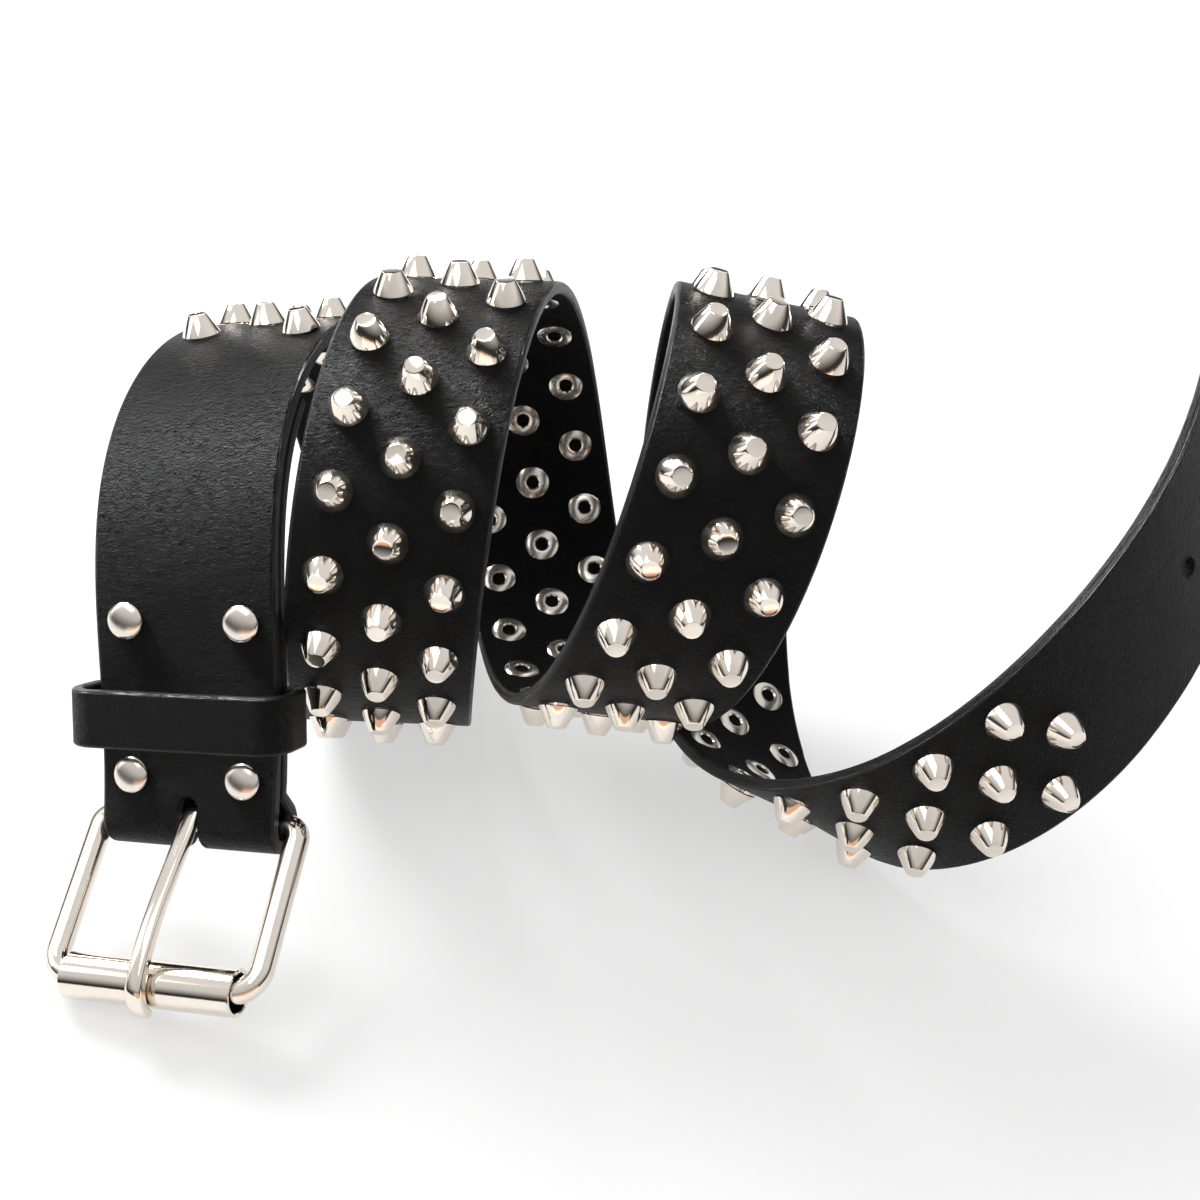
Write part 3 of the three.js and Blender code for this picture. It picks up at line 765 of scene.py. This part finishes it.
WASHER_RADIUS = 2.6 * MM
WASHER_THICKNESS = 1.1 * MM
WASHER_BEVEL = 0.4 * MM
washer_profile = (
    (0, 0.0),
    (WASHER_RADIUS, 0.0),
    (WASHER_RADIUS, WASHER_THICKNESS - WASHER_BEVEL),
    (WASHER_RADIUS - 1.75 * WASHER_BEVEL, WASHER_THICKNESS),
    (0, WASHER_THICKNESS),
)
washer = turned("washer", washer_profile, RIVET_SIDES)
holder = marked_points("washer_points", rivet_spots, INNER_LAYER - LEATHER / 2, -1)
washers = repeat_part("rivet_washers", holder, washer, satin_nickel, 0.0, 1)
for piece in (caps, washers):
    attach(piece, "strap")
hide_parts("rivet_lower_left", "rivet_lower_right", "rivet_upper_left", "rivet_upper_right")

# %% [markdown]
# ## The keeper
#
# A closed oval band of the same leather, wide enough for the free end to pass.
# It is swept round its own outline rather than cut from a block, so its section
# can be a flat bar with rounded edges, like the strap's.

# %% The band
KEEPER_BACK = INNER_LAYER - LEATHER / 2 - GAP
KEEPER_FRONT = LEATHER / 2 + KEEPER_DEPTH_ROOM
KEEPER_HALF = STRAP_WIDTH / 2 + KEEPER_SIDE_ROOM
KEEPER_EDGE_ROUND = 0.7 * MM
CORNER_STEPS = 12


def keeper_outline():
    """The band's inner outline (height, side), and the way out of it at each point."""
    front, back = KEEPER_FRONT - KEEPER_FRONT_CORNER, KEEPER_BACK + KEEPER_BACK_CORNER
    front_side, back_side = KEEPER_HALF - KEEPER_FRONT_CORNER, KEEPER_HALF - KEEPER_BACK_CORNER
    corners = (
        (front, front_side, KEEPER_FRONT_CORNER, 0.0),
        (back, back_side, KEEPER_BACK_CORNER, 0.5),
        (back, -back_side, KEEPER_BACK_CORNER, 1.0),
        (front, -front_side, KEEPER_FRONT_CORNER, 1.5),
    )
    outline = []
    for height, side, radius, start in corners:
        for k in range(CORNER_STEPS + 1):
            angle = math.pi * (start + 0.5 * k / CORNER_STEPS)
            away = Vector((math.cos(angle), math.sin(angle)))
            outline.append((Vector((height, side)) + away * radius, away))
    return outline


def keeper_rings():
    """Rings round the band: each is a flat bar with rounded edges."""
    rings, edges, insides, flows = [], [], [], []
    run, last = 0.0, None
    for inner_spot, away in keeper_outline():
        middle = inner_spot + away * KEEPER_WALL / 2
        run += (middle - last).length if last else 0.0
        last = middle
        ring = []
        for lift, along, edge in section(KEEPER_HEIGHT / 2, KEEPER_WALL, KEEPER_EDGE_ROUND):
            spot = middle + away * lift
            ring.append(strap_point(KEEPER_PLACE, spot.x, spot.y) + keeper_along * along)
            edges.append(edge)
            insides.append(1.0 if lift < 0 else 0.0)
            flows.append((run, along + lift))
        rings.append(ring)
    return rings, edges, insides, flows


keeper_along = frame_at(KEEPER_PLACE)[1]
rings, edges, insides, flows = keeper_rings()
keeper = skin("keeper_leather", rings, closed=True)
store_marks(keeper, edges, insides, flows)
keeper.data.materials.append(keeper_leather)
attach(keeper, "strap")
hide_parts("keeper_loop")
print("keeper:", len(keeper.data.polygons), "faces")

# %% [markdown]
# ## The buckle
#
# A wire rectangle lies in the fold, a thin tube turns on its outer bar, and a
# bowed prong swings on its heel bar. All three share directions of their own:
# X across, Y from the heel bar to the roller, Z out. One matrix carries them
# into the belt.

# %% The buckle's directions
buckle_side = start_across * -1
buckle_reach = start_along * -math.cos(FRAME_ANGLE) + start_out * math.sin(FRAME_ANGLE)
buckle_out = buckle_side.cross(buckle_reach)
buckle_matrix = (
    Matrix.Translation(strap_point(BAR_PLACE, -FOLD_RADIUS, 0))
    @ Matrix((buckle_side, buckle_reach, buckle_out)).transposed().to_4x4()
)
print("heel bar at", [round(value / MM, 2) for value in buckle_matrix.translation])

# %% The wire frame
WIRE_SIDES = 28


def frame_rings():
    half = FRAME_WIDTH / 2
    corners = (
        (half - HEEL_CORNER, HEEL_CORNER, HEEL_CORNER, -0.25),
        (half - ROLLER_CORNER, FRAME_LENGTH - ROLLER_CORNER, ROLLER_CORNER, 0.0),
        (ROLLER_CORNER - half, FRAME_LENGTH - ROLLER_CORNER, ROLLER_CORNER, 0.25),
        (HEEL_CORNER - half, HEEL_CORNER, HEEL_CORNER, 0.5),
    )
    rings = []
    for x, y, radius, start in corners:
        for k in range(CORNER_STEPS + 1):
            angle = math.tau * (start + 0.25 * k / CORNER_STEPS)
            outward = Vector((math.cos(angle), math.sin(angle), 0))
            centre = Vector((x, y, 0)) + outward * radius
            ring = []
            for side in range(WIRE_SIDES):
                around = math.tau * side / WIRE_SIDES
                ring.append(buckle_matrix @ (
                    centre + outward * (BAR_RADIUS * math.cos(around))
                    + Vector((0, 0, BAR_RADIUS * math.sin(around)))
                ))
            rings.append(ring)
    return rings


wire_frame = skin("wire_frame", frame_rings(), closed=True)
wire_frame.data.materials.append(bright_nickel)
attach(wire_frame, "frame")
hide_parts("buckle_frame")

# %% The roller
ROLLER_SIDES = 48
inner = ROLLER_RADIUS - ROLLER_WALL
half = ROLLER_LENGTH / 2
lip = 0.22 * MM
roller_profile = (
    (inner, -half + lip),
    (inner + lip, -half),
    (ROLLER_RADIUS - lip, -half),
    (ROLLER_RADIUS, -half + lip),
    (ROLLER_RADIUS, half - lip),
    (ROLLER_RADIUS - lip, half),
    (inner + lip, half),
    (inner, half - lip),
)
roller_matrix = (
    buckle_matrix @ Matrix.Translation((0, FRAME_LENGTH, -ROLLER_DROP))
    @ Matrix.Rotation(math.pi / 2, 4, "Y")
)
roller_tube = turned("roller_tube", roller_profile, ROLLER_SIDES, roller_matrix)
roller_tube.data.materials.append(bright_nickel)
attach(roller_tube, "roller")
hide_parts("roller")

# %% The prong's route: an eye, a bowed shaft and a hooked tip
EYE_START = -40
EYE_SWEEP = -230
LANDING = 68
HOOK_END = 5


def prong_path():
    """Points (reach, height, thickness) along the prong; the angles above are in degrees."""
    path = []
    eye_steps = 22
    for k in range(eye_steps + 1):
        angle = math.radians(EYE_START + EYE_SWEEP * k / eye_steps)
        path.append((EYE_RADIUS * math.cos(angle), EYE_RADIUS * math.sin(angle), PRONG_EYE_THICKNESS))
    wrap = ROLLER_RADIUS + GAP + PRONG_THICKNESS / 2
    landing = math.radians(LANDING)
    bends = (
        Vector((0, EYE_RADIUS)),
        Vector((FRAME_LENGTH * 0.3, EYE_RADIUS)),
        Vector((FRAME_LENGTH * 0.72, PRONG_BOW + ROLLER_DROP)),
        Vector((FRAME_LENGTH + wrap * math.cos(landing), -ROLLER_DROP + wrap * math.sin(landing))),
    )
    shaft_steps = 26
    for k in range(1, shaft_steps + 1):
        t = k / shaft_steps
        point = (
            bends[0] * (1 - t) ** 3 + bends[1] * 3 * t * (1 - t) ** 2
            + bends[2] * 3 * t * t * (1 - t) + bends[3] * t ** 3
        )
        swell = min(1, 3 * t) * (PRONG_THICKNESS - PRONG_EYE_THICKNESS)
        path.append((point.x, point.y, PRONG_EYE_THICKNESS + swell))
    hook_steps = 12
    for k in range(1, hook_steps + 1):
        share = k / hook_steps
        angle = landing + (math.radians(HOOK_END) - landing) * share
        thick = PRONG_THICKNESS + (PRONG_EYE_THICKNESS - PRONG_THICKNESS) * share
        radius = wrap - (PRONG_THICKNESS - thick) / 2
        path.append((
            FRAME_LENGTH + radius * math.cos(angle), -ROLLER_DROP + radius * math.sin(angle), thick,
        ))
    return path


# %% The prong
PRONG_SIDES = 20
ROUNDNESS = 0.62


def prong_rings():
    path = prong_path()
    rings = []
    for k, (reach, height, thick) in enumerate(path):
        before, after = path[max(k - 1, 0)], path[min(k + 1, len(path) - 1)]
        run = Vector((after[0] - before[0], after[1] - before[1])).normalized()
        up = Vector((0, -run.y, run.x))
        ring = []
        for side in range(PRONG_SIDES):
            around = math.tau * side / PRONG_SIDES
            wide = math.copysign(abs(math.cos(around)) ** ROUNDNESS, math.cos(around))
            high = math.copysign(abs(math.sin(around)) ** ROUNDNESS, math.sin(around))
            spot = Vector((wide * PRONG_WIDTH / 2, reach, height)) + up * (high * thick / 2)
            ring.append(buckle_matrix @ spot)
        rings.append(ring)
    return rings


prong = skin("prong_wire", prong_rings())
prong.data.materials.append(bright_nickel)
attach(prong, "prong")
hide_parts("prong")

# %% [markdown]
# ## The studio
#
# The photograph was taken on seamless white, with only a faint shadow under the
# belt. So the floor is a white sheet that glows softly from within, as on a light
# table. One strong softbox behind the left shoulder gives the leather its sheen;
# weaker ones fill in. A warm card low in front gives the copper stud tops.

# %% Floor
def floor_material():
    material, _, shader = new_material("white_floor")
    shader.inputs["Base Color"].default_value = (0.27, 0.27, 0.27, 1.0)
    shader.inputs["Roughness"].default_value = 0.9
    shader.inputs["Specular IOR Level"].default_value = 0.1
    shader.inputs["Emission Color"].default_value = (1.0, 1.0, 1.0, 1.0)
    shader.inputs["Emission Strength"].default_value = 0.57
    return material


FLOOR_HALF = 4.0
floor_corners = [(x * FLOOR_HALF, y * FLOOR_HALF, 0) for x, y in ((-1, -1), (1, -1), (1, 1), (-1, 1))]
floor = mesh_piece("floor", floor_corners, [(0, 1, 2, 3)])
floor.data.materials.append(floor_material())

# %% Lights
def soft_light(name, place, target, size, power, colour=(1.0, 1.0, 1.0)):
    """A square light that faces a point."""
    light = bpy.data.lights.new(name, "AREA")
    light.shape = "RECTANGLE"
    light.size, light.size_y = size
    light.energy = power
    light.color = colour
    holder = bpy.data.objects.new(name, light)
    bpy.context.scene.collection.objects.link(holder)
    holder.location = place
    holder.rotation_euler = (Vector(target) - Vector(place)).to_track_quat("-Z", "Y").to_euler()
    return holder


soft_light("main_softbox", (-0.73, 0.75, 0.83), (-0.08, 0, 0.08), (0.7, 0.6), 38)
soft_light("top_softbox", (-0.4, -0.3, 1.1), (0, 0, 0.05), (0.75, 0.6), 4)
soft_light("back_softbox", (-0.2, 0.9, 0.8), (0, 0, 0.05), (0.8, 0.35), 2)
soft_light("left_softbox", (-1.1, -0.1, 0.5), (0, 0, 0.05), (0.4, 0.8), 1.2)
soft_light("warm_card", (-0.05, -0.5, 0.06), (-0.05, 0, 0.09), (0.6, 0.12), 0.2, (1.0, 0.6, 0.4))

# %% The room: bright above, dark near the level of the floor and behind the viewer
world = bpy.data.worlds.new("white_room")
world.use_nodes = True
room = world.node_tree
direction = add_node(room, "ShaderNodeTexCoord").outputs["Generated"]
parts = add_node(room, "ShaderNodeSeparateXYZ", Vector=direction).outputs
upward = add_node(room, "ShaderNodeMapRange", Value=parts["Z"], i1=0.15, i2=0.5, i3=0.04, i4=0.85)
frontward = add_node(room, "ShaderNodeMapRange", Value=parts["Y"], i1=-0.9, i2=-0.1, i3=0.75, i4=1.0)
strength = add_node(
    room, "ShaderNodeMath", {"operation": "MULTIPLY"},
    i0=upward.outputs["Result"], i1=frontward.outputs["Result"],
)
room.links.new(strength.outputs["Value"], room.nodes["Background"].inputs["Strength"])
room.nodes["Background"].inputs["Color"].default_value = (1.0, 1.0, 1.0, 1.0)
bpy.context.scene.world = world
bpy.context.scene.view_settings.view_transform = "Standard"

# %% [markdown]
# ## The camera
#
# The camera stands in front of the belt and looks down on it at about 39
# degrees, turned a few degrees so that the coil climbs as it does in the
# photograph. Its directions are given as three unit vectors.

# %% Camera
CAMERA_FROM_START = Vector((81.84, -197.13, 227.95)) * MM
camera_right = Vector((0.997, 0.0481, 0.0602)).normalized()
camera_forward = Vector((0, 0.7812, -0.6243)).normalized()
camera_up = camera_right.cross(camera_forward).normalized()
camera_right = camera_forward.cross(camera_up)
SENSOR_WIDTH = 36
LENS = 42.53
NEAREST_SEEN = 10 * MM
camera_data = bpy.data.cameras.new("camera")
camera_data.sensor_width = SENSOR_WIDTH
camera_data.lens = LENS
camera_data.clip_start = NEAREST_SEEN
camera = bpy.data.objects.new("camera", camera_data)
bpy.context.scene.collection.objects.link(camera)
camera.matrix_world = (
    Matrix.Translation(STRAP_START + CAMERA_FROM_START)
    @ Matrix((camera_right, camera_up, camera_forward * -1)).transposed().to_4x4()
)
bpy.context.scene.camera = camera
print("camera at", [round(value, 3) for value in camera.location])
